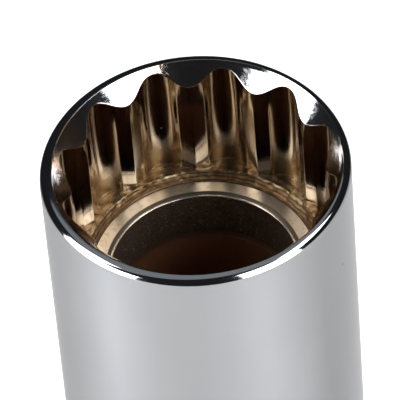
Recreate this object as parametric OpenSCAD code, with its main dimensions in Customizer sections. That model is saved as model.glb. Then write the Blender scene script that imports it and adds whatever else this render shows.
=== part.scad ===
// Deep twelve-point spark plug socket with a ring magnet retainer.
// Millimetres. The socket stands on its drive end, +Z points out of the mouth,
// and the origin is the centre of the drive end's face.

/* [Body] */
// Outside diameter of the tube
outer_d = 18.2; // [18:0.1:20]
// Overall length from drive end to rim
body_length = 65; // [50:1:90]
// Radius of the rounded outer edge at the rim
rim_round = 0.55; // [0.3:0.05:0.6]
// Chamfer on the outer edge of the drive end
base_chamfer = 0.8; // [0.3:0.1:1.2]

/* [Twelve-point recess] */
// Diameter of the lead-in cone at the rim
lead_in_d = 17; // [16.6:0.02:17]
// Slope of the lead-in cone, in degrees from the rim's plane
lead_in_slope = 50; // [50:1:58]
// Diameter across opposite ridges
ridge_d = 14.66; // [14.5:0.02:14.7]
// Diameter across opposite rounded roots
root_d = 16.36; // [16:0.02:16.4]
// Lean of the two drive facets that meet at a ridge, in degrees
facet_lean = 15; // [14:0.5:16]
// Angle that each drive facet takes up beside its ridge, in degrees
facet_turn = 6.3; // [5.5:0.1:6.5]
// Lean of the steeper relief beyond each drive facet, in degrees
flank_lean = 27; // [25:0.5:29]
// Depth of the flat shelf that the flutes end on, below the rim
flute_depth = 8.2; // [7:0.1:8.3]
// Diameter at the top of the tapered step between the shelf and the retainer
step_d = 14.2; // [14.1:0.05:14.4]

/* [Retainer] */
// Depth of the retainer's top face below the rim
ledge_depth = 8.7; // [8.6:0.1:12]
// Diameter of the seat that holds the washer and the magnet
seat_d = 13.4; // [13.2:0.1:14]
// Gap around the washer and the magnet in the seat, on the radius
seat_gap = 0.02; // [0.01:0.01:0.05]
// Thickness of the pole washer
washer_t = 0.5; // [0.45:0.05:1.2]
// Hole through the pole washer
washer_bore_d = 11.15; // [11:0.05:11.4]
// Diameter of the shallow dished ring around the washer's hole
washer_dish_d = 11.75; // [11.65:0.05:12.4]
// Depth of the dished ring
washer_dish = 0.1; // [0.05:0.01:0.15]
// Width of the narrow flat lip between the dished ring and the hole
washer_lip = 0.1; // [0.08:0.01:0.15]
// Height of the magnet ring
magnet_h = 2.7; // [1.5:0.1:4]
// Hole through the magnet ring
magnet_bore_d = 11.15; // [10.9:0.05:11.4]

/* [Bore] */
// Diameter of the bore that clears the plug's insulator
bore_d = 10.4; // [10:0.02:10.5]

/* [Drive end] */
// Side of the square drive hole
drive_size = 9.6; // [9.55:0.01:9.7]
// Depth of the square drive hole
drive_depth = 11.5; // [10:0.5:14]
// Mouth diameter of the round countersink on the square hole
drive_lead_d = 14.2; // [13.8:0.1:15]
// Height of the detent hollows above the drive end
detent_z = 5.6; // [4:0.1:6.5]
// Radius of the ball form of each detent hollow
detent_r = 1.9; // [1.7:0.05:2]
// Depth of each detent hollow in the wall
detent_depth = 0.9; // [0.5:0.05:1]

/* [Hidden] */
$fn = 96;

points = 12;
half_pitch = 180 / points;
eps = 0.01;

outer_r = outer_d / 2;
ridge_r = ridge_d / 2;
root_r = root_d / 2;
lead_in_r = lead_in_d / 2;
seat_r = seat_d / 2;
ring_r = seat_r - seat_gap;

// Heights measured from the drive end
flute_z = body_length - flute_depth;
ledge_z = body_length - ledge_depth;
washer_z = ledge_z - washer_t;
seat_z = washer_z - magnet_h;

// A drive facet leans back from its ridge, and a steeper flank relieves the
// corner beyond it. Neighbouring flanks are joined at the root by an arc that
// reaches root_r. Each flank is carried a little way inside its arc, so that
// the two always cross.
facet_end_r = ridge_r * cos(facet_lean) / cos(facet_lean + facet_turn);
flank_plane = facet_end_r * cos(flank_lean + facet_turn);
root_turn = flank_lean + half_pitch;
root_centre = (root_r - flank_plane) / (1 - cos(root_turn));
root_arc_r = root_r - root_centre;
flank_end = 0.9 * root_arc_r;

// Point given by distance along a direction and an offset across it
function on_ray(angle, along, across) =
    [along * cos(angle) - across * sin(angle),
     along * sin(angle) + across * cos(angle)];

// Ridge, end of its facet, the ends of the two flanks beside the next root, and
// the end of the next ridge's facet
function flute_points(k) =
    let (ridge = 2 * k * half_pitch,
         valley = ridge + half_pitch,
         along = root_centre + flank_end * cos(root_turn),
         across = flank_end * sin(root_turn))
    [on_ray(ridge, ridge_r, 0),
     on_ray(ridge + facet_turn, facet_end_r, 0),
     on_ray(valley, along, -across),
     on_ray(valley, along, across),
     on_ray(valley + half_pitch - facet_turn, facet_end_r, 0)];

module twelve_point_outline() {
    polygon([for (k = [0 : points - 1]) each flute_points(k)]);
    for (k = [0 : points - 1])
        rotate((2 * k + 1) * half_pitch)
            translate([root_centre, 0])
                circle(r = root_arc_r);
}

// Outside of the tube: chamfered at the drive end, rounded at the rim
module tube_blank() {
    rotate_extrude() {
        polygon([[0, 0],
                 [outer_r - base_chamfer, 0],
                 [outer_r, base_chamfer],
                 [outer_r, body_length - rim_round],
                 [outer_r - rim_round, body_length - rim_round],
                 [outer_r - rim_round, body_length],
                 [0, body_length]]);
        intersection() {
            translate([outer_r - rim_round, body_length - rim_round])
                circle(r = rim_round);
            translate([outer_r - rim_round, body_length - rim_round])
                square(rim_round + eps);
        }
    }
}

module socket_body() {
    color("gainsboro")
    difference() {
        tube_blank();
        // lead-in cone
        translate([0, 0, body_length - 2])
            cylinder(h = 2 + eps,
                     r1 = lead_in_r - 2 / tan(lead_in_slope),
                     r2 = lead_in_r + eps / tan(lead_in_slope));
        // twelve-point flutes
        translate([0, 0, flute_z])
            linear_extrude(height = flute_depth + 1)
                twelve_point_outline();
        // tapered step from the shelf down to the retainer
        translate([0, 0, ledge_z])
            cylinder(h = flute_z - ledge_z + eps, r1 = seat_r, r2 = step_d / 2);
        // seat of the washer and the magnet
        translate([0, 0, seat_z])
            cylinder(h = ledge_z - seat_z + eps, r = seat_r);
        // bore for the insulator
        translate([0, 0, drive_depth])
            cylinder(h = seat_z - drive_depth + 1, d = bore_d);
        // square drive with a round countersink and four detent hollows
        translate([-drive_size / 2, -drive_size / 2, -1])
            cube([drive_size, drive_size, drive_depth + 1 + eps]);
        translate([0, 0, -1])
            cylinder(h = 2.1, r1 = drive_lead_d / 2 + 1, r2 = drive_lead_d / 2 - 1.1);
        for (k = [0 : 3])
            rotate(90 * k)
                translate([drive_size / 2 + detent_depth - detent_r, 0, detent_z])
                    sphere(r = detent_r);
    }
}

module pole_washer() {
    inner_r = washer_bore_d / 2;
    color("tan")
    rotate_extrude()
        polygon([[inner_r, washer_z],
                 [ring_r, washer_z],
                 [ring_r, ledge_z],
                 [washer_dish_d / 2, ledge_z],
                 [inner_r + washer_lip, ledge_z - washer_dish],
                 [inner_r, ledge_z - washer_dish]]);
}

module magnet_ring() {
    inner_r = magnet_bore_d / 2;
    color("dimgray")
    rotate_extrude()
        translate([inner_r, seat_z])
            square([ring_r - inner_r, magnet_h]);
}

socket_body();
pole_washer();
magnet_ring();
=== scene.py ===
import math

import bpy
import numpy as np
from mathutils import Matrix, Vector, noise


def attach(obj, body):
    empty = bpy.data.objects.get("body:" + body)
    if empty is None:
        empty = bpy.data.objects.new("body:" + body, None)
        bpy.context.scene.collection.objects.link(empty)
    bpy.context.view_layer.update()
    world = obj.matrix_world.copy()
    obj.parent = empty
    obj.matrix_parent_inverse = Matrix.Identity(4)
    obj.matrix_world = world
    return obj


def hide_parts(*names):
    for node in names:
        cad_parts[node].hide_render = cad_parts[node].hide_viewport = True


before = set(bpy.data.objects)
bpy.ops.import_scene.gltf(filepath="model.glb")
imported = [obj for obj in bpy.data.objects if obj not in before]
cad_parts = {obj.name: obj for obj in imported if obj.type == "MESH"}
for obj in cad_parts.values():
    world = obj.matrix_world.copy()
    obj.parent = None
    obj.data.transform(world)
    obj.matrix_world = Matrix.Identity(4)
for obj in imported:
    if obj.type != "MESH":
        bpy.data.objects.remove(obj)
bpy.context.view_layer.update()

MM = 0.001

# ---------------------------------------------------------------- sizes in mm
OUT_R, SKIN_R = 9.1, 9.094                 # tube, and its skin just inside the tube's box
LENGTH = 65.0
RIDGE_R, ROOT_R = 7.34, 8.18
FACET_LEAN, FACET_TURN, HALF = 15.0, 6.3, 15.0
LEAD_SLOPE, LEAD_R = 50.0, 8.50           # lead-in cone: slope, radius where it meets the rim's plane
RIM_ROUND, LIP_R = 0.55, 0.022             # outer and inner rounding of the rim
OFF_AXIS = (0.138, -0.040)                # the recess sits a little off the tube's axis
SEAT_AXIS = (0.050, -0.040)               # and the retainer and its seat a little less
SEAT_R, LEDGE_Z, SHELF_Z, STEP_R = 6.70, 56.3, 56.8, 7.1
SEAT_Z = 53.1
BORE_R = 5.2
DRIVE, DRIVE_Z = 9.6, 11.5
DETENT_Z, DETENT_R, DETENT_DEPTH = 5.6, 1.9, 0.9
COUNTER_R = 7.1


def rad(d):
    return d * math.pi / 180.0


# ------------------------------------------------- twelve-point profile r(angle)
def flute_table(wear, ridge_r, root_r):
    """Radius of the recess by angle from a ridge: two drive facets, then a hollow root. wear is the angle its corners are rounded over."""
    n = 6000
    d = np.linspace(-HALF, HALF, n, endpoint=False)
    a = np.abs(d)
    end_r = ridge_r * math.cos(rad(FACET_LEAN)) / math.cos(rad(FACET_LEAN + FACET_TURN))
    ex, ey = end_r * math.cos(rad(HALF - FACET_TURN)), end_r * math.sin(rad(HALF - FACET_TURN))
    c = (root_r ** 2 - ex ** 2 - ey ** 2) / (2 * (root_r - ex))
    rho = root_r - c
    facet = ridge_r * math.cos(rad(FACET_LEAN)) / np.cos(np.radians(FACET_LEAN + a))
    off = np.radians(HALF - a)
    root = c * np.cos(off) + np.sqrt(np.maximum(rho ** 2 - (c * np.sin(off)) ** 2, 0))
    r = np.where(a < FACET_TURN, facet, root)
    w = int(wear / (2 * HALF / n))
    k = np.hanning(2 * w + 3)[1:-1]
    k /= k.sum()
    return d, np.convolve(np.concatenate([r[-w:], r, r[:w]]), k, mode="valid")


HALF_COLS = [0, .11, .24, .42, .75, 1.4, 2.3, 3.3, 4.2, 4.9, 5.4, 5.75, 6.03, 6.3, 6.57, 6.86,
             7.25, 7.8, 8.5, 9.3, 10.2, 11.1, 12.0, 13.0, 14.0]
offs = sorted(set([-x for x in HALF_COLS] + HALF_COLS + [15.0]))
ANG = np.concatenate([30.0 * k + np.array(offs) for k in range(12)])
FOLD = ((ANG + HALF) % 30.0) - HALF
FLUTE_R = np.interp(FOLD, *flute_table(0.45, RIDGE_R, ROOT_R), period=2 * HALF)
WORN_R = np.interp(FOLD, *flute_table(5.8, RIDGE_R + 0.045, ROOT_R + 0.06), period=2 * HALF)
THETA = np.radians(ANG)
NC = len(ANG)


# ---------------------------------------------------------------- mesh helpers
def arc(cx, cz, rx, rz, a0, a1, n):
    """Points on an ellipse, angles from +r towards +z, in degrees."""
    t = np.radians(np.linspace(a0, a1, n))
    return [(cx + rx * math.cos(x), cz + rz * math.sin(x)) for x in t]


def rounded(path, ends=True):
    """A line path (r, z, radius) with every inner corner turned into a small arc."""
    out = []
    if ends:
        out.append(path[0][:2])
    for i in range(1, len(path) - 1):
        p0, p1, p2 = (np.array(path[j][:2]) for j in (i - 1, i, i + 1))
        rho = path[i][2]
        u = (p0 - p1) / np.linalg.norm(p0 - p1)
        v = (p2 - p1) / np.linalg.norm(p2 - p1)
        half = math.acos(max(-1, min(1, float(u @ v)))) / 2
        t = rho / math.tan(half)
        mid = (u + v) / np.linalg.norm(u + v)
        cen = p1 + mid * rho / math.sin(half)
        a, b = p1 + u * t - cen, p1 + v * t - cen
        a0, a1 = math.atan2(a[1], a[0]), math.atan2(b[1], b[0])
        da = (a1 - a0 + math.pi) % (2 * math.pi) - math.pi
        n = 4
        step = abs(da) * rho / n
        out.append(tuple(p1 + u * (t + step)))
        for j in range(n + 1):
            q = a0 + da * j / n
            out.append((cen[0] + rho * math.cos(q), cen[1] + rho * math.sin(q)))
        out.append(tuple(p1 + v * (t + step)))
    if ends:
        out.append(path[-1][:2])
    return out


def tangent(pm, p0, pp):
    h1 = np.linalg.norm(p0 - pm, axis=-1, keepdims=True) + 1e-12
    h2 = np.linalg.norm(pp - p0, axis=-1, keepdims=True) + 1e-12
    return (h1 / h2) * (pp - p0) + (h2 / h1) * (p0 - pm)


def grid_normals(P):
    tr = tangent(np.roll(P, 1, 0), P, np.roll(P, -1, 0))
    tc = tangent(np.roll(P, 1, 1), P, np.roll(P, -1, 1))
    n = np.cross(tc, tr)
    return n / (np.linalg.norm(n, axis=-1, keepdims=True) + 1e-20)


def ring_mesh(name, P, row_mat, mats):
    """A closed ring-shaped skin from a grid of points (rows around the section, columns around the axis)."""
    nr, nc = P.shape[:2]
    N = grid_normals(P)
    idx = np.arange(nr * nc).reshape(nr, nc)
    a = idx
    b = np.roll(idx, -1, 1)
    c = np.roll(np.roll(idx, -1, 0), -1, 1)
    d = np.roll(idx, -1, 0)
    quads = np.stack([a, b, c, d], -1).reshape(-1, 4)
    q = P.reshape(-1, 3)
    v0, v1, v2, v3 = (q[quads[:, k]] for k in range(4))
    vol = np.einsum("ij,ij->i", v0, np.cross(v1, v2)).sum() + np.einsum("ij,ij->i", v0, np.cross(v2, v3)).sum()
    if vol < 0:
        quads = quads[:, ::-1]
    face_n = np.cross(q[quads[:, 2]] - q[quads[:, 0]], q[quads[:, 3]] - q[quads[:, 1]])
    if np.einsum("ij,ij->i", N.reshape(-1, 3)[quads[:, 0]], face_n).sum() < 0:
        N = -N
    me = bpy.data.meshes.new(name)
    me.from_pydata((q * MM).tolist(), [], quads.tolist())
    me.polygons.foreach_set("use_smooth", np.ones(len(quads), dtype=bool))
    me.polygons.foreach_set("material_index", np.repeat(np.array(row_mat, dtype=np.int32), nc))
    for m in mats:
        me.materials.append(m)
    me.update()
    me.normals_split_custom_set_from_vertices(N.reshape(-1, 3).tolist())
    ob = bpy.data.objects.new(name, me)
    bpy.context.scene.collection.objects.link(ob)
    return ob


# ------------------------------------------------------------- material helpers
class Mat:
    def __init__(self, name):
        self.m = bpy.data.materials.new(name)
        self.m.use_nodes = True
        self.t = self.m.node_tree
        self.t.nodes.clear()
        self.out = self.t.nodes.new("ShaderNodeOutputMaterial")
        self.bsdf = self.t.nodes.new("ShaderNodeBsdfPrincipled")
        self.link(self.bsdf.outputs[0], self.out.inputs[0])
        self.co = self.t.nodes.new("ShaderNodeTexCoord").outputs["Object"]

    def link(self, a, b):
        self.t.links.new(a, b)

    def set(self, **kw):
        for k, v in kw.items():
            self.bsdf.inputs[k.replace("_", " ")].default_value = v

    def mapping(self, scale=(1, 1, 1), loc=(0, 0, 0), src=None):
        n = self.t.nodes.new("ShaderNodeMapping")
        n.inputs["Scale"].default_value = scale
        n.inputs["Location"].default_value = loc
        self.link(src or self.co, n.inputs["Vector"])
        return n.outputs[0]

    def noise(self, scale, detail=4, rough=0.5, vec=None, lac=2.0, dist=0.0):
        n = self.t.nodes.new("ShaderNodeTexNoise")
        n.inputs["Scale"].default_value = scale
        n.inputs["Detail"].default_value = detail
        n.inputs["Roughness"].default_value = rough
        n.inputs["Lacunarity"].default_value = lac
        n.inputs["Distortion"].default_value = dist
        self.link(vec or self.co, n.inputs["Vector"])
        return n.outputs["Fac"]

    def voronoi(self, scale, vec=None, feature="F1", rnd=1.0, out="Distance"):
        n = self.t.nodes.new("ShaderNodeTexVoronoi")
        n.feature = feature
        n.inputs["Scale"].default_value = scale
        n.inputs["Randomness"].default_value = rnd
        self.link(vec or self.co, n.inputs["Vector"])
        return n.outputs[out]

    def ramp(self, fac, stops, interp="LINEAR"):
        n = self.t.nodes.new("ShaderNodeValToRGB")
        n.color_ramp.interpolation = interp
        while len(n.color_ramp.elements) < len(stops):
            n.color_ramp.elements.new(0.5)
        for e, (p, c) in zip(n.color_ramp.elements, stops):
            e.position = p
            e.color = (c, c, c, 1) if not isinstance(c, (tuple, list)) else (*c, 1)
        self.link(fac, n.inputs[0])
        return n.outputs[0]

    def mix(self, fac, a, b, mode="MIX"):
        n = self.t.nodes.new("ShaderNodeMix")
        n.data_type = "RGBA"
        n.blend_type = mode
        for sock, val in ((n.inputs[0], fac), (n.inputs[6], a), (n.inputs[7], b)):
            if isinstance(val, (int, float)):
                sock.default_value = val
            elif isinstance(val, (tuple, list)):
                sock.default_value = (*val, 1)
            else:
                self.link(val, sock)
        return n.outputs[2]

    def math(self, op, a, b=0.0, c=0.0, clamp=False):
        n = self.t.nodes.new("ShaderNodeMath")
        n.operation = op
        n.use_clamp = clamp
        for sock, val in zip(n.inputs, (a, b, c)):
            if isinstance(val, (int, float)):
                sock.default_value = val
            else:
                self.link(val, sock)
        return n.outputs[0]

    def xyz(self, src=None):
        n = self.t.nodes.new("ShaderNodeSeparateXYZ")
        self.link(src or self.co, n.inputs[0])
        return n.outputs

    def polar(self):
        """Angle, radius and height of a point, as one vector for textures that follow the axis."""
        x, y, z = self.xyz()
        ang = self.math("ARCTAN2", y, x)
        rr = self.math("SQRT", self.math("ADD", self.math("MULTIPLY", x, x), self.math("MULTIPLY", y, y)))
        n = self.t.nodes.new("ShaderNodeCombineXYZ")
        self.link(ang, n.inputs[0])
        self.link(rr, n.inputs[1])
        self.link(z, n.inputs[2])
        return n.outputs[0], ang, rr, z

    def bump(self, height, dist, strength=1.0, prev=None):
        n = self.t.nodes.new("ShaderNodeBump")
        n.inputs["Strength"].default_value = strength
        n.inputs["Distance"].default_value = dist
        self.link(height, n.inputs["Height"])
        if prev is not None:
            self.link(prev, n.inputs["Normal"])
        return n.outputs[0]

    def use(self, **kw):
        for k, v in kw.items():
            self.link(v, self.bsdf.inputs[k.replace("_", " ")])
        return self.m

    def dot_mask(self, point, radius):
        """1 inside a small soft spot around a point of the object (mm), 0 outside."""
        n = self.t.nodes.new("ShaderNodeVectorMath")
        n.operation = "DISTANCE"
        self.link(self.co, n.inputs[0])
        n.inputs[1].default_value = tuple(c * MM for c in point)
        mr = self.t.nodes.new("ShaderNodeMapRange")
        mr.interpolation_type = "SMOOTHSTEP"
        mr.inputs["From Min"].default_value = radius * 0.45 * MM
        mr.inputs["From Max"].default_value = radius * MM
        mr.inputs["To Min"].default_value = 1.0
        mr.inputs["To Max"].default_value = 0.0
        self.link(n.outputs["Value"], mr.inputs["Value"])
        return mr.outputs[0]


# ------------------------------------------------------------------- materials
def chrome_outside():
    m = Mat("bright_plating_outside")
    m.set(Metallic=1.0)
    pol, ang, rr, z = m.polar()
    cloud = m.noise(160, 3, 0.5)
    fine = m.noise(2600, 3, 0.55)
    base = m.mix(m.ramp(cloud, [(0.35, 0.0), (0.68, 1.0)]), (0.576, 0.589, 0.613), (0.603, 0.615, 0.637))
    # a scatter of pin-prick pits in the plating
    v = m.voronoi(520, rnd=1.0)
    pick = m.ramp(m.noise(190, 2, 0.5), [(0.62, 0.0), (0.66, 1.0)])
    pit = m.math("MULTIPLY", m.ramp(v, [(0.030, 1.0), (0.060, 0.0)]), pick)
    base = m.mix(pit, base, (0.10, 0.095, 0.09))
    # faint lengthwise polishing lines
    lines = m.noise(1.0, 5, 0.6, vec=m.mapping((260, 1, 22), src=pol))
    rough = m.math("ADD", m.math("MULTIPLY", m.ramp(cloud, [(0.3, 0.0), (0.75, 1.0)]), 0.035), 0.045)
    rough = m.math("ADD", rough, m.math("MULTIPLY", lines, 0.03))
    nrm = m.bump(lines, 1.2e-6, 0.35)
    nrm = m.bump(fine, 0.8e-6, 0.30, nrm)
    # the lead-in cone is less evenly polished: mottled, and in some arcs a brown tint is laid on it as a painted
    # reflection of brown surroundings
    cone = m.t.nodes.new("ShaderNodeMapRange")
    cone.inputs["From Min"].default_value = 8.52 * MM
    cone.inputs["From Max"].default_value = 8.40 * MM
    m.link(rr, cone.inputs["Value"])
    inner = m.math("MULTIPLY", cone.outputs[0], m.math("GREATER_THAN", z, 60.0 * MM))
    mottle = m.noise(1150, 5, 0.66)
    nrm = m.bump(m.math("MULTIPLY", mottle, inner), 2.4e-5, 0.7, nrm)
    # arcs round the cone that carry the painted brown reflection
    span = []
    for wave, lo, hi in (("SINE", 0.05, 0.25), ("COSINE", -0.72, -0.88), ("SINE", 0.90, 0.98)):
        n = m.t.nodes.new("ShaderNodeMapRange")
        n.interpolation_type = "SMOOTHSTEP"
        n.inputs["From Min"].default_value = lo
        n.inputs["From Max"].default_value = hi
        m.link(m.math(wave, ang), n.inputs["Value"])
        span.append(n.outputs[0])
    where = m.math("ADD", m.math("MULTIPLY", span[0], span[1]), m.math("MULTIPLY", span[2], 0.6))
    # painted reflection: brown tint, broken up by noise, only on the cone and in those arcs
    brown_tint = m.math("MULTIPLY", inner, m.ramp(m.noise(300, 4, 0.6), [(0.38, 0.3), (0.58, 1.0)]))
    brown_tint = m.math("MULTIPLY", brown_tint, where)
    base = m.mix(brown_tint, base, (0.86, 0.61, 0.42))
    rough = m.math("ADD", rough, m.math("MULTIPLY", brown_tint, 0.05))
    nrm = m.bump(m.math("SUBTRACT", 1.0, pit), 1.0e-5, 0.6, nrm)
    return m.use(Base_Color=base, Roughness=rough, Normal=nrm)


def nickel_recess():
    m = Mat("bright_plating_recess")
    m.set(Metallic=1.0)
    pol, ang, rr, z = m.polar()
    cloud = m.noise(420, 4, 0.55)
    draw = m.noise(1.0, 4, 0.6, vec=m.mapping((190, 1, 130), src=pol))
    base = m.mix(m.ramp(cloud, [(0.35, 0.0), (0.7, 1.0)]), (0.56, 0.468, 0.358), (0.63, 0.545, 0.44))
    base = m.mix(m.ramp(m.noise(900, 5, 0.6), [(0.58, 0.0), (0.74, 0.6)]), base, (0.34, 0.245, 0.145))
    base = m.mix(m.ramp(draw, [(0.52, 0.0), (0.72, 0.45)]), base, (0.38, 0.29, 0.19))
    brown_tint, film_rough = film_mask(m, rr, z)
    base = m.mix(brown_tint, base, (0.33, 0.235, 0.135))
    v = m.voronoi(900)
    pick = m.ramp(m.noise(300, 2, 0.5), [(0.58, 0.0), (0.64, 1.0)])
    fleck = m.math("MULTIPLY", m.ramp(v, [(0.05, 1.0), (0.12, 0.0)]), pick)
    rough = m.math("ADD", m.math("MULTIPLY", cloud, 0.10), 0.06)
    rough = m.math("ADD", rough, m.math("MULTIPLY", fleck, 0.4))
    rough = m.math("ADD", rough, film_rough)
    # coarser marks of the broach, running up the walls
    marks = m.noise(1.0, 3, 0.55, vec=m.mapping((46, 1, 60), src=pol))
    base = m.mix(m.ramp(marks, [(0.54, 0.0), (0.68, 0.5)]), base, (0.40, 0.315, 0.215))
    nrm = m.bump(draw, 3.0e-6, 0.5)
    nrm = m.bump(marks, 7.0e-6, 0.5, nrm)
    nrm = m.bump(m.noise(3200, 3, 0.6), 1.2e-6, 0.5, nrm)
    nrm = m.bump(fleck, 1.2e-5, 0.7, nrm)
    return m.use(Base_Color=base, Roughness=rough, Normal=nrm)


def film_mask(m, rr, z):
    """Brown film low in the hollow roots: its strength and the roughness it adds."""
    low = m.t.nodes.new("ShaderNodeMapRange")
    low.interpolation_type = "SMOOTHSTEP"
    low.inputs["From Min"].default_value = 59.4 * MM
    low.inputs["From Max"].default_value = 57.6 * MM
    ragged = m.math("ADD", z, m.math("MULTIPLY", m.math("SUBTRACT", m.noise(650, 4, 0.6), 0.5), 2.6 * MM))
    m.link(ragged, low.inputs["Value"])
    hollow = m.t.nodes.new("ShaderNodeMapRange")
    hollow.interpolation_type = "SMOOTHSTEP"
    hollow.inputs["From Min"].default_value = 7.56 * MM
    hollow.inputs["From Max"].default_value = 7.80 * MM
    m.link(rr, hollow.inputs["Value"])
    brown_tint = m.math("MULTIPLY", low.outputs[0], hollow.outputs[0])
    return m.math("MULTIPLY", brown_tint, 0.85), m.math("MULTIPLY", brown_tint, 0.20)


def run_out():
    m = Mat("bright_plating_run_out")
    m.set(Metallic=0.88)
    pol, ang, rr, z = m.polar()
    stain = m.noise(620, 5, 0.62)
    fine = m.noise(2400, 5, 0.66)
    base = m.mix(m.ramp(stain, [(0.38, 0.0), (0.64, 1.0)]), (0.24, 0.155, 0.075), (0.50, 0.40, 0.275))
    base = m.mix(m.ramp(fine, [(0.40, 0.65), (0.52, 0.0)]), base, (0.16, 0.098, 0.046))
    base = m.mix(m.ramp(fine, [(0.58, 0.0), (0.70, 0.7)]), base, (0.74, 0.65, 0.52))
    rings = m.noise(1.0, 4, 0.6, vec=m.mapping((2.2, 9000, 9000), src=pol))
    base = m.mix(m.ramp(rings, [(0.50, 0.0), (0.64, 0.75)]), base, (0.15, 0.092, 0.044))
    rough = m.math("ADD", m.math("MULTIPLY", stain, 0.26), 0.14)
    # the tapered step is duller and browner than the shelf above it
    step = m.t.nodes.new("ShaderNodeMapRange")
    step.inputs["From Min"].default_value = (SHELF_Z - 0.03) * MM
    step.inputs["From Max"].default_value = (SHELF_Z - 0.13) * MM
    m.link(z, step.inputs["Value"])
    base = m.mix(m.math("MULTIPLY", step.outputs[0], 0.62), base, (0.225, 0.130, 0.052))
    turns = m.math("SINE", m.math("ADD", m.math("MULTIPLY", z, 2 * math.pi / (0.15 * MM)),
                                  m.math("MULTIPLY", stain, 5.0)))
    lines = m.math("MULTIPLY", m.ramp(m.math("MULTIPLY_ADD", turns, 0.5, 0.5), [(0.58, 0.0), (0.86, 0.8)]), step.outputs[0])
    base = m.mix(lines, base, (0.070, 0.038, 0.017))
    rough = m.math("ADD", rough, m.math("MULTIPLY", step.outputs[0], 0.17))
    nrm = m.bump(rings, 1.8e-5, 0.8)
    nrm = m.bump(fine, 2.2e-5, 0.8, nrm)
    return m.use(Base_Color=base, Roughness=rough, Normal=nrm)


def bore_steel():
    m = Mat("bright_plating_bore")
    m.set(Metallic=0.35)
    pol, ang, rr, z = m.polar()
    cloud = m.noise(350, 4, 0.55)
    warm = m.mix(m.ramp(cloud, [(0.35, 0.0), (0.7, 1.0)]), (0.290, 0.125, 0.060), (0.340, 0.150, 0.078))
    # painted shade: below about 46 mm the bore is coloured near black instead of warm brown, for the little light that
    # reaches that deep
    deep_painted_shade = m.mix(m.ramp(cloud, [(0.35, 0.0), (0.7, 1.0)]), (0.060, 0.052, 0.043), (0.080, 0.070, 0.058))
    painted_shade_depth = m.t.nodes.new("ShaderNodeMapRange")
    painted_shade_depth.interpolation_type = "SMOOTHSTEP"
    painted_shade_depth.inputs["From Min"].default_value = 45.6 * MM
    painted_shade_depth.inputs["From Max"].default_value = 47.2 * MM
    m.link(z, painted_shade_depth.inputs["Value"])
    base = m.mix(painted_shade_depth.outputs[0], deep_painted_shade, warm)
    # painted shade: the seat ring's upward face is coloured darker, so the light falling on it from above shows it no
    # brighter than the bore wall
    seat = m.t.nodes.new("ShaderNodeMapRange")
    seat.interpolation_type = "SMOOTHSTEP"
    seat.inputs["From Min"].default_value = 52.99 * MM
    seat.inputs["From Max"].default_value = 53.08 * MM
    m.link(z, seat.inputs["Value"])
    base = m.mix(seat.outputs[0], base, (0.105, 0.046, 0.023))
    rings = m.noise(1.0, 4, 0.6, vec=m.mapping((1.5, 1, 5200), src=pol))
    rough = m.math("ADD", m.math("MULTIPLY", cloud, 0.16), 0.42)
    nrm = m.bump(rings, 8.0e-6, 0.5)
    return m.use(Base_Color=base, Roughness=rough, Normal=nrm)


def satin_washer():
    m = Mat("satin_nickel_washer")
    m.set(Metallic=1.0)
    m.co = m.mapping((1, 1, 1), (-SEAT_AXIS[0] * MM, -SEAT_AXIS[1] * MM, 0))
    pol, ang, rr, z = m.polar()
    cloud = m.noise(520, 4, 0.6)
    grain = m.noise(4200, 4, 0.62)
    base = m.mix(m.ramp(cloud, [(0.34, 0.0), (0.68, 1.0)]), (0.84, 0.765, 0.665), (0.92, 0.86, 0.77))
    base = m.mix(m.ramp(grain, [(0.54, 0.0), (0.70, 0.42)]), base, (0.46, 0.37, 0.28))
    turned = m.noise(1.0, 4, 0.6, vec=m.mapping((1.6, 14000, 14000), src=pol))
    # the dished ring round the hole is dull and painted dark, as a painted reflection of dark surroundings, and the lip
    # inside it is bare and bright
    ring = m.t.nodes.new("ShaderNodeValToRGB")
    ring.color_ramp.interpolation = "EASE"
    for k, (pos, v) in enumerate(((0.0, 0.0), (0.27, 0.0), (0.33, 1.0), (0.84, 1.0), (1.0, 0.0))):
        e = ring.color_ramp.elements[k] if k < 2 else ring.color_ramp.elements.new(pos)
        e.position, e.color = pos, (v, v, v, 1)
    ring.color_ramp.elements[-1].position = 1.0
    span = m.t.nodes.new("ShaderNodeMapRange")
    span.inputs["From Min"].default_value = 5.575 * MM
    span.inputs["From Max"].default_value = 5.93 * MM
    m.link(m.math("ADD", rr, m.math("MULTIPLY", m.math("SUBTRACT", cloud, 0.5), 0.05 * MM)), span.inputs["Value"])
    m.link(span.outputs[0], ring.inputs[0])
    # painted reflection: darkens the dished ring round the hole
    base = m.mix(ring.outputs[0], base, (0.115, 0.092, 0.070))
    wall = m.t.nodes.new("ShaderNodeMapRange")
    wall.inputs["From Min"].default_value = (LEDGE_Z - 0.13) * MM
    wall.inputs["From Max"].default_value = (LEDGE_Z - 0.17) * MM
    m.link(z, wall.inputs["Value"])
    base = m.mix(wall.outputs[0], base, (0.060, 0.042, 0.033))
    rough = m.math("ADD", m.math("MULTIPLY", grain, 0.12), 0.33)
    rough = m.math("ADD", rough, m.math("MULTIPLY", wall.outputs[0], 0.3))
    bare = m.t.nodes.new("ShaderNodeMapRange")
    bare.inputs["From Min"].default_value = 5.69 * MM
    bare.inputs["From Max"].default_value = 5.66 * MM
    m.link(rr, bare.inputs["Value"])
    rough = m.math("SUBTRACT", rough, m.math("MULTIPLY", bare.outputs[0], 0.24))
    nrm = m.bump(turned, 1.0e-6, 0.4)
    nrm = m.bump(grain, 2.4e-6, 0.5, nrm)
    return m.use(Base_Color=base, Roughness=rough, Normal=nrm)


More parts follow.
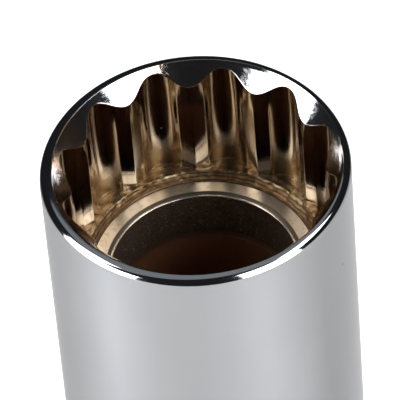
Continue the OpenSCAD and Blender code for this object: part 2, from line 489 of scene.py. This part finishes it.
def ferrite():
    m = Mat("ferrite_magnet")
    m.set(Metallic=0.0, Specular_IOR_Level=0.12)
    cloud = m.noise(600, 4, 0.6)
    v = m.voronoi(5200)
    grit = m.ramp(v, [(0.10, 1.0), (0.30, 0.0)])
    pick = m.ramp(m.noise(3000, 3, 0.6), [(0.46, 0.0), (0.58, 1.0)])
    speck = m.math("MULTIPLY", grit, pick)
    base = m.mix(m.ramp(cloud, [(0.3, 0.0), (0.72, 1.0)]), (0.055, 0.036, 0.027), (0.082, 0.057, 0.043))
    dust = m.noise(9500, 3, 0.7)
    base = m.mix(m.ramp(dust, [(0.46, 0.0), (0.66, 0.85)]), base, (0.120, 0.090, 0.068))
    base = m.mix(m.ramp(dust, [(0.34, 0.7), (0.46, 0.0)]), base, (0.018, 0.013, 0.010))
    base = m.mix(speck, base, (0.32, 0.28, 0.235))
    rough = m.math("ADD", m.math("MULTIPLY", cloud, 0.25), 0.42)
    nrm = m.bump(m.noise(5200, 4, 0.65), 1.6e-5, 0.7)
    nrm = m.bump(speck, 1.5e-5, 0.6, nrm)
    return m.use(Base_Color=base, Roughness=rough, Normal=nrm)


# ------------------------------------------------------------------ socket body
def full(v):
    return np.full(NC, float(v))


rows, tags = [], []
OUTSIDE, RECESS, RUNOUT, BORE = 0, 1, 2, 3


def add(r, z, tag):
    rows.append((r if isinstance(r, np.ndarray) else full(r), z if isinstance(z, np.ndarray) else full(z)))
    tags.append(tag)


# drive end face, outer chamfer, outside wall
for r, z in rounded([(7.45, 0, 0), (8.3, 0, 0.12), (SKIN_R, 0.8, 0.2), (SKIN_R, 6.0, 0)]):
    add(r, z, OUTSIDE)
for z in (18.0, 32.0, 46.0, 57.0, 62.5, 63.9, 64.35):
    add(SKIN_R, z, OUTSIDE)
# rim: outer round on the tube's axis, then a tight inner lip on the recess's axis
crest = SKIN_R - RIM_ROUND
lip_c = LEAD_R + LIP_R * math.tan(rad(LEAD_SLOPE / 2))
lip_seen = np.hypot(lip_c * np.cos(THETA) + OFF_AXIS[0], lip_c * np.sin(THETA) + OFF_AXIS[1])
turn_end = np.arccos(np.clip((lip_seen - crest) / RIM_ROUND, 0.0, 1.0))
for t in np.linspace(0, 1, 17):
    add(crest + RIM_ROUND * np.cos(turn_end * t), LENGTH - RIM_ROUND + RIM_ROUND * np.sin(turn_end * t), OUTSIDE)
tan_s = math.tan(rad(LEAD_SLOPE))
lip_from = len(rows)
for t in np.linspace(0.1, 1, 8):
    q = turn_end + (rad(90 + LEAD_SLOPE) - turn_end) * t
    add(lip_c + LIP_R * (np.cos(q) - np.cos(turn_end)),
        LENGTH - RIM_ROUND + (RIM_ROUND - LIP_R) * np.sin(turn_end) + LIP_R * np.sin(q), OUTSIDE)
lip_r, lip_z = rows[-1]
# lead-in cone down to the scalloped edge
edge_rho = 0.13
cut = edge_rho * math.tan(rad((90 - LEAD_SLOPE) / 2))
cone_z = lip_z - (lip_r - WORN_R) * tan_s
for t in (0.03, 0.12, 0.35, 0.62, 0.85, 0.95):
    er = WORN_R + cut * math.cos(rad(LEAD_SLOPE))
    ez = cone_z + cut * math.sin(rad(LEAD_SLOPE))
    add(lip_r + (er - lip_r) * t, lip_z + (ez - lip_z) * t, OUTSIDE)
for k in range(6):
    q = rad(LEAD_SLOPE) + rad(90 - LEAD_SLOPE) * k / 5
    cx = WORN_R + edge_rho
    cz = cone_z - cut
    add(cx - edge_rho * math.sin(q), cz + edge_rho * math.cos(q), OUTSIDE if k < 4 else RECESS)
# flute walls: the ridges are blunt at the mouth and crisp further down
top_z = cone_z - cut
blunt_z = 62.0
for t in (0.02, 0.12, 0.28, 0.46, 0.64, 0.82, 1.0):
    w = 0.5 + 0.5 * math.cos(math.pi * max(0.0, t - 0.05) / 0.95)
    add(WORN_R * w + FLUTE_R * (1 - w), top_z + (blunt_z - top_z) * t, RECESS)
fil = 0.03
for t in (0.03, 0.35, 0.7, 0.9, 0.98):
    add(FLUTE_R, blunt_z + (SHELF_Z + fil - blunt_z) * t, RECESS)
# shelf that the flutes end on, then the tapered step down to the retainer
shelf_from = len(rows)
for k in range(4):
    q = rad(90) * k / 3
    add(FLUTE_R - fil + fil * math.cos(q), full(SHELF_Z + fil - fil * math.sin(q)), RUNOUT)
lip = 0.07
for t in (0.05, 0.14, 0.25, 0.37, 0.49, 0.61, 0.73, 0.84, 0.94):
    add((FLUTE_R - fil) * (1 - t) + (STEP_R + lip) * t, SHELF_Z, RUNOUT)
for k in range(5):
    q = rad(80) * k / 4
    add(STEP_R + lip - lip * math.sin(q), SHELF_Z - lip + lip * math.cos(q), RUNOUT)
r0, z0 = rows[-1][0][0], rows[-1][1][0]
for k, t in enumerate((0.06, 0.16, 0.26, 0.36, 0.46, 0.56, 0.66, 0.76, 0.86, 0.96)):
    groove = 0.014 if k % 3 == 1 else 0.0
    add(r0 + (SEAT_R + 0.03 - r0) * t + groove, z0 + (LEDGE_Z + 0.03 - z0) * t, RUNOUT)
shelf_to = len(rows) - 1
# seat, bore, drive shoulder
for r, z in rounded([(SEAT_R + 0.025, LEDGE_Z + 0.02, 0), (SEAT_R, LEDGE_Z - 0.02, 0.02), (SEAT_R, SEAT_Z, 0.06),
                     (BORE_R, SEAT_Z, 0.03), (BORE_R, 40.0, 0)]):
    add(r, z, BORE)
for z in (28.0, 18.0, 13.0):
    add(BORE_R, z, BORE)
square = (DRIVE / 2) / np.maximum(np.abs(np.cos(THETA)), np.abs(np.sin(THETA)))
square = np.minimum(square, 6.55)
for r, z in ((BORE_R, DRIVE_Z + 0.03), (BORE_R + 0.02, DRIVE_Z)):
    add(r, z, BORE)
for t in (0.04, 0.5, 0.96):
    add(BORE_R + 0.02 + (square - BORE_R - 0.02) * t, DRIVE_Z, BORE)


def square_wall(z):
    """Square hole with a ball-shaped hollow in the middle of each flat."""
    depth2 = DETENT_R ** 2 - (z - DETENT_Z) ** 2
    r = square.copy()
    if depth2 <= 0:
        return r
    c = DRIVE / 2 + DETENT_DEPTH - DETENT_R
    a = (np.degrees(THETA) + 45) % 90 - 45
    a = np.radians(a)
    disc = depth2 - (c * np.sin(a)) ** 2
    hit = c * np.cos(a) + np.sqrt(np.maximum(disc, 0))
    return np.where(disc > 0, np.maximum(r, hit), r)


for z in [DRIVE_Z - 0.03, 9.5] + list(np.linspace(7.35, 3.85, 15)) + [2.4]:
    add(square_wall(z), z, BORE)
# countersink into the drive end, each point where the square meets the cone
sink = COUNTER_R - square
for t in (-0.03, 0.0, 0.03):
    add(square + max(t, 0), sink + (0.04 if t < 0 else -max(t, 0)), BORE)
for t in (0.3, 0.65, 0.9):
    add(square + (COUNTER_R - square) * t, sink * (1 - t), BORE)
for r, z in rounded([(COUNTER_R - 0.25, 0.25, 0), (COUNTER_R, 0, 0.1), (7.40, 0, 0)], ends=False):
    add(r, z, OUTSIDE)

R2 = np.array([r for r, z in rows])
Z2 = np.array([z for r, z in rows])
# share of the recess's run-out that each row takes: none outside, all of it from the lip down, none again down the bore
share = np.zeros(len(rows))
seat = np.zeros(len(rows))
for i in range(lip_from, len(rows)):
    share[i] = min(1.0, max(0.0, (Z2[i].mean() - 40.0) / 12.0))
    seat[i] = min(1.0, max(0.0, (SHELF_Z - 0.05 - Z2[i].mean()) / (SHELF_Z - LEDGE_Z - 0.10)))
shift_x = share * (OFF_AXIS[0] * (1 - seat) + SEAT_AXIS[0] * seat)
shift_y = share * (OFF_AXIS[1] * (1 - seat) + SEAT_AXIS[1] * seat)
P = np.stack([R2 * np.cos(THETA) + shift_x[:, None], R2 * np.sin(THETA) + shift_y[:, None], Z2], -1)
# the outside turns its columns to stay in line with those of the recess
seen = np.arctan2(lip_c * np.sin(THETA) + OFF_AXIS[1], lip_c * np.cos(THETA) + OFF_AXIS[0])
for i in range(lip_from):
    if Z2[i, 0] > 30.0:
        P[i, :, 0], P[i, :, 1] = R2[i] * np.cos(seen), R2[i] * np.sin(seen)


# torn chips and tool marks on the shelf and the step
def chip(p):
    v = Vector(p)
    big = noise.noise(v * 1.1 + Vector((3.1, 0, 7.0)))
    mid = noise.noise(v * 2.9 + Vector((11.0, 4.0, 0)))
    small = noise.noise(v * 7.3 + Vector((0, 9.0, 2.0)))
    return 0.055 * big + 0.048 * mid + 0.018 * small


for i in range(shelf_from, shelf_to + 1):
    fade = min(1.0, (i - shelf_from + 1) / 6.0, (shelf_to + 1 - i) / 4.0)
    for j in range(NC):
        d = chip(P[i, j]) * fade
        P[i, j] += np.array([-math.cos(THETA[j]) * 0.6, -math.sin(THETA[j]) * 0.6, 0.8]) * d

body = ring_mesh("socket_body_skin", P, tags, [chrome_outside(), nickel_recess(), run_out(), bore_steel()])
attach(body, "root")
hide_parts("socket_body")


# ------------------------------------------------------------ washer and magnet
def revolve(path, cols):
    th = np.linspace(0, 2 * math.pi, cols, endpoint=False)
    r = np.array([p[0] for p in path])[:, None]
    z = np.array([p[1] for p in path])[:, None]
    return np.stack([r * np.cos(th) + SEAT_AXIS[0], r * np.sin(th) + SEAT_AXIS[1], z + 0 * th], -1)


magnet_dark = ferrite()                   # its dust also covers the wall of the washer's hole
w_in, w_out, w_top, w_bot = 5.575, 6.68, LEDGE_Z, LEDGE_Z - 0.5
dish_r, lip_w, dish = 5.875, 0.10, 0.1
path = [(w_out - 0.06 - (w_out - dish_r - 0.10) * t, w_top) for t in np.linspace(0, 1, 9)]
path += rounded([(dish_r + 0.08, w_top, 0), (dish_r, w_top, 0.10), (w_in + lip_w, w_top - dish, 0.02),
                 (w_in, w_top - dish, 0.06), (w_in, w_bot, 0.01), (w_out, w_bot, 0.04), (w_out, w_top, 0.04),
                 (w_out - 0.05, w_top, 0)], ends=False)
w_tags = [1 if r < w_in + 0.02 and z < w_top - dish - 0.05 else 0 for r, z in path]
washer = ring_mesh("pole_washer_skin", revolve(path, 480), w_tags, [satin_washer(), magnet_dark])
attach(washer, "root")
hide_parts("pole_washer")

m_in, m_out, m_top, m_bot = 5.575, 6.68, LEDGE_Z - 0.5, 53.1
path = [(m_out - 0.1, m_top), (m_out - 0.6, m_top), (m_in + 0.05, m_top)]
path += arc(m_in + 0.02, m_top - 0.02, 0.02, 0.02, 90, 180, 6)
for t in np.linspace(0.04, 0.96, 36):
    path.append((m_in, m_top - 0.02 + (m_bot + 0.10 - m_top) * t))
path += arc(m_in + 0.08, m_bot + 0.08, 0.08, 0.08, 180, 270, 6)
path += [(m_in + 0.16, m_bot), (m_out - 0.12, m_bot)]
path += arc(m_out - 0.08, m_bot + 0.08, 0.08, 0.08, -90, 0, 5)
path += arc(m_out - 0.08, m_top - 0.08, 0.08, 0.08, 0, 90, 5)
Q = revolve(path, 540)
for i in range(9, 47):
    for j in range(540):
        g = noise.noise(Vector(Q[i, j]) * 7.0) * 0.010 + noise.noise(Vector(Q[i, j]) * 2.0) * 0.008
        g = 0.004 + (g - 0.004) * min(1.0, (i - 8) / 6.0)
        Q[i, j, :2] += (Q[i, j, :2] - SEAT_AXIS) * max(0.0, 0.004 - g) / m_in
magnet = ring_mesh("magnet_ring_skin", Q, [0] * len(path), [magnet_dark])
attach(magnet, "root")
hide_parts("magnet_ring")

# ------------------------------------------------------------------------ floor
fm = Mat("pale_floor")
fm.set(Roughness=0.9)
fm.use(Base_Color=fm.mix(fm.ramp(fm.noise(30, 3, 0.5), [(0.3, 0.0), (0.7, 1.0)]), (0.655, 0.655, 0.66), (0.685, 0.685, 0.69)))
# reflections see a painted pool of light on the floor, pale near the object and painted dark beyond, that fades out
# behind the object; the camera sees plain pale floor
fvec = fm.mapping((0.5, 1.0, 1.0), (0.0, 0.12, 0.0))
fdist = fm.t.nodes.new("ShaderNodeVectorMath")
fdist.operation = "LENGTH"
fm.link(fvec, fdist.inputs[0])
fpainted_pool = fm.t.nodes.new("ShaderNodeMapRange")
fpainted_pool.interpolation_type = "SMOOTHSTEP"
fpainted_pool.inputs["From Min"].default_value = 0.165
fpainted_pool.inputs["From Max"].default_value = 0.240
fpainted_pool.inputs["To Min"].default_value = 0.0
fpainted_pool.inputs["To Max"].default_value = 0.97
fm.link(fdist.outputs["Value"], fpainted_pool.inputs["Value"])
# painted shade: near-black floor colour outside the pool, seen only in reflections
fpainted_dark = fm.t.nodes.new("ShaderNodeBsdfDiffuse")
fpainted_dark.inputs["Color"].default_value = (0.02, 0.02, 0.021, 1)
fseen = fm.t.nodes.new("ShaderNodeMixShader")
fm.link(fpainted_pool.outputs[0], fseen.inputs[0])
fm.link(fm.bsdf.outputs[0], fseen.inputs[1])
fm.link(fpainted_dark.outputs[0], fseen.inputs[2])
fglow = fm.t.nodes.new("ShaderNodeEmission")
fglow.inputs["Strength"].default_value = 0.68
fadd = fm.t.nodes.new("ShaderNodeAddShader")
fmix = fm.t.nodes.new("ShaderNodeMixShader")
fpath = fm.t.nodes.new("ShaderNodeLightPath")
fm.link(fm.bsdf.outputs[0], fadd.inputs[0])
fm.link(fglow.outputs[0], fadd.inputs[1])
fm.link(fpath.outputs["Is Camera Ray"], fmix.inputs[0])
fm.link(fseen.outputs[0], fmix.inputs[1])
fm.link(fadd.outputs[0], fmix.inputs[2])
fm.link(fmix.outputs[0], fm.out.inputs[0])
bpy.ops.mesh.primitive_circle_add(vertices=96, radius=2.5, fill_type="NGON", location=(0, 0, 0))
floor = bpy.context.object
floor.name = "floor"
floor.data.materials.append(fm.m)


# ----------------------------------------------------------------------- lights
def softbox(name, az0, az1, dist, z0, z1, radiance, color):
    """Upright panel that spans the azimuths az0..az1 (0 = towards the camera, + = right)."""
    mid, half = (az0 + az1) / 2, (az1 - az0) / 2
    w = 2 * dist * math.tan(rad(half))
    h = z1 - z0
    li = bpy.data.lights.new(name, "AREA")
    li.shape = "RECTANGLE"
    li.size, li.size_y = w, h
    li.energy = radiance * math.pi * w * h
    li.color = color
    ob = bpy.data.objects.new(name, li)
    bpy.context.scene.collection.objects.link(ob)
    d = Vector((math.sin(rad(mid)), -math.cos(rad(mid)), 0))
    z = d
    x = Vector((0, 0, 1)).cross(z).normalized()
    y = z.cross(x)
    m3 = Matrix((x, y, z)).transposed()
    ob.matrix_world = Matrix.Translation(d * dist + Vector((0, 0, (z0 + z1) / 2))) @ m3.to_4x4()
    ob.visible_camera = False
    return ob


def at_el(dist, el):
    """Height that is seen from the rim at an elevation, for a panel at a distance."""
    return LENGTH * MM + dist * math.tan(rad(el))


WARM = (1.0, 0.985, 0.97)
softbox("softbox_left", -97, -44, 0.36, 0.004, at_el(0.36, 31), 6.2, WARM)
softbox("softbox_left_top", -102, -74, 0.36, at_el(0.36, 31), at_el(0.36, 57), 4.6, WARM)
softbox("softbox_right", 23, 63, 0.36, 0.004, at_el(0.36, 38), 5.2, WARM)
softbox("softbox_right_mid", 23, 63, 0.36, at_el(0.36, 38), at_el(0.36, 48.5), 4.7, WARM)
softbox("softbox_right_top", 63, 100, 0.36, at_el(0.36, 31), at_el(0.36, 57), 4.0, WARM)

# narrow soft fill from above, for the matt surfaces down the hole
li = bpy.data.lights.new("hole_fill", "SPOT")
li.energy = 1.7
li.shadow_soft_size = 0.06
fill = bpy.data.objects.new("hole_fill", li)
bpy.context.scene.collection.objects.link(fill)
fill.location = (0, -0.12, 0.52)
aim = Vector((0, 0, LENGTH * MM)) - fill.location
fill.rotation_euler = aim.to_track_quat("-Z", "Y").to_euler()
li.spot_size = 2 * math.atan(0.012 / aim.length)
li.spot_blend = 0.6
fill.visible_camera = False
fill.visible_glossy = False

# the two softboxes spill on the floor either side of the front, and the tube's side shows it
for name, az, power in (("spill_left", -73, 3.1), ("spill_right", 38, 2.3)):
    li = bpy.data.lights.new(name, "SPOT")
    li.energy = power
    li.color = (0.93, 0.97, 1.0)
    li.shadow_soft_size = 0.02
    spill = bpy.data.objects.new(name, li)
    bpy.context.scene.collection.objects.link(spill)
    spill.location = (0.061 * math.sin(rad(az)), -0.061 * math.cos(rad(az)), 0.40)
    li.spot_size = rad(9.0)
    li.spot_blend = 1.0
    spill.visible_camera = False
    spill.visible_glossy = False

# dim ceiling above the object, a little towards the back
li = bpy.data.lights.new("ceiling", "AREA")
li.shape = "RECTANGLE"
li.size, li.size_y = 0.9, 0.70
li.energy = 0.26 * math.pi * 0.9 * 0.70
li.color = (0.90, 0.96, 1.0)
ceil = bpy.data.objects.new("ceiling", li)
bpy.context.scene.collection.objects.link(ceil)
ceil.location = (0, 0.15, 0.66)
ceil.visible_camera = False

world = bpy.data.worlds.new("studio")
bpy.context.scene.world = world
world.use_nodes = True
wt = world.node_tree
wt.nodes.clear()
wo = wt.nodes.new("ShaderNodeOutputWorld")
room = wt.nodes.new("ShaderNodeBackground")
room.inputs[0].default_value = (0.0155, 0.0158, 0.0175, 1)
pale = wt.nodes.new("ShaderNodeBackground")
pale.inputs[0].default_value = (1, 1, 1, 1)
pale.inputs[1].default_value = 0.95
lp = wt.nodes.new("ShaderNodeLightPath")
ms = wt.nodes.new("ShaderNodeMixShader")
wt.links.new(lp.outputs["Is Camera Ray"], ms.inputs[0])
wt.links.new(room.outputs[0], ms.inputs[1])
wt.links.new(pale.outputs[0], ms.inputs[2])
wt.links.new(ms.outputs[0], wo.inputs[0])

# ----------------------------------------------------------------------- camera
S_PX, DIST, ELEV, ROLL, TX, TY, TURN = 156.62, 31.2, 47.6, -4.9, -0.0328, -0.2248, -0.64
e, ro = rad(ELEV), rad(ROLL)
base_rot = np.array([[1, 0, 0], [0, -math.sin(e), -math.cos(e)], [0, math.cos(e), -math.sin(e)]])
rot = np.array([[math.cos(ro), -math.sin(ro), 0], [math.sin(ro), math.cos(ro), 0], [0, 0, 1]]) @ base_rot
eye = -rot.T @ np.array([TX, TY, DIST]) * OUT_R * MM
cam = bpy.data.cameras.new("photo_camera")
cam.sensor_fit = "HORIZONTAL"
cam.sensor_width = 36.0
cam.lens = S_PX * DIST * 36.0 / 400.0
cam.clip_start = 0.01
cam.clip_end = 50.0
cob = bpy.data.objects.new("photo_camera", cam)
bpy.context.scene.collection.objects.link(cob)
m3 = Matrix((rot[0], -rot[1], -rot[2])).transposed()
place = Matrix.Translation(Vector(eye) + Vector((0, 0, LENGTH * MM))) @ m3.to_4x4()
cob.matrix_world = Matrix.Rotation(rad(TURN), 4, "Z") @ place
bpy.context.scene.camera = cob

sc = bpy.context.scene
sc.view_settings.view_transform = "Standard"
sc.view_settings.look = "None"
sc.view_settings.exposure = 0.0
sc.view_settings.gamma = 1.0
sc.cycles.max_bounces = 24
sc.cycles.glossy_bounces = 20
sc.cycles.diffuse_bounces = 6
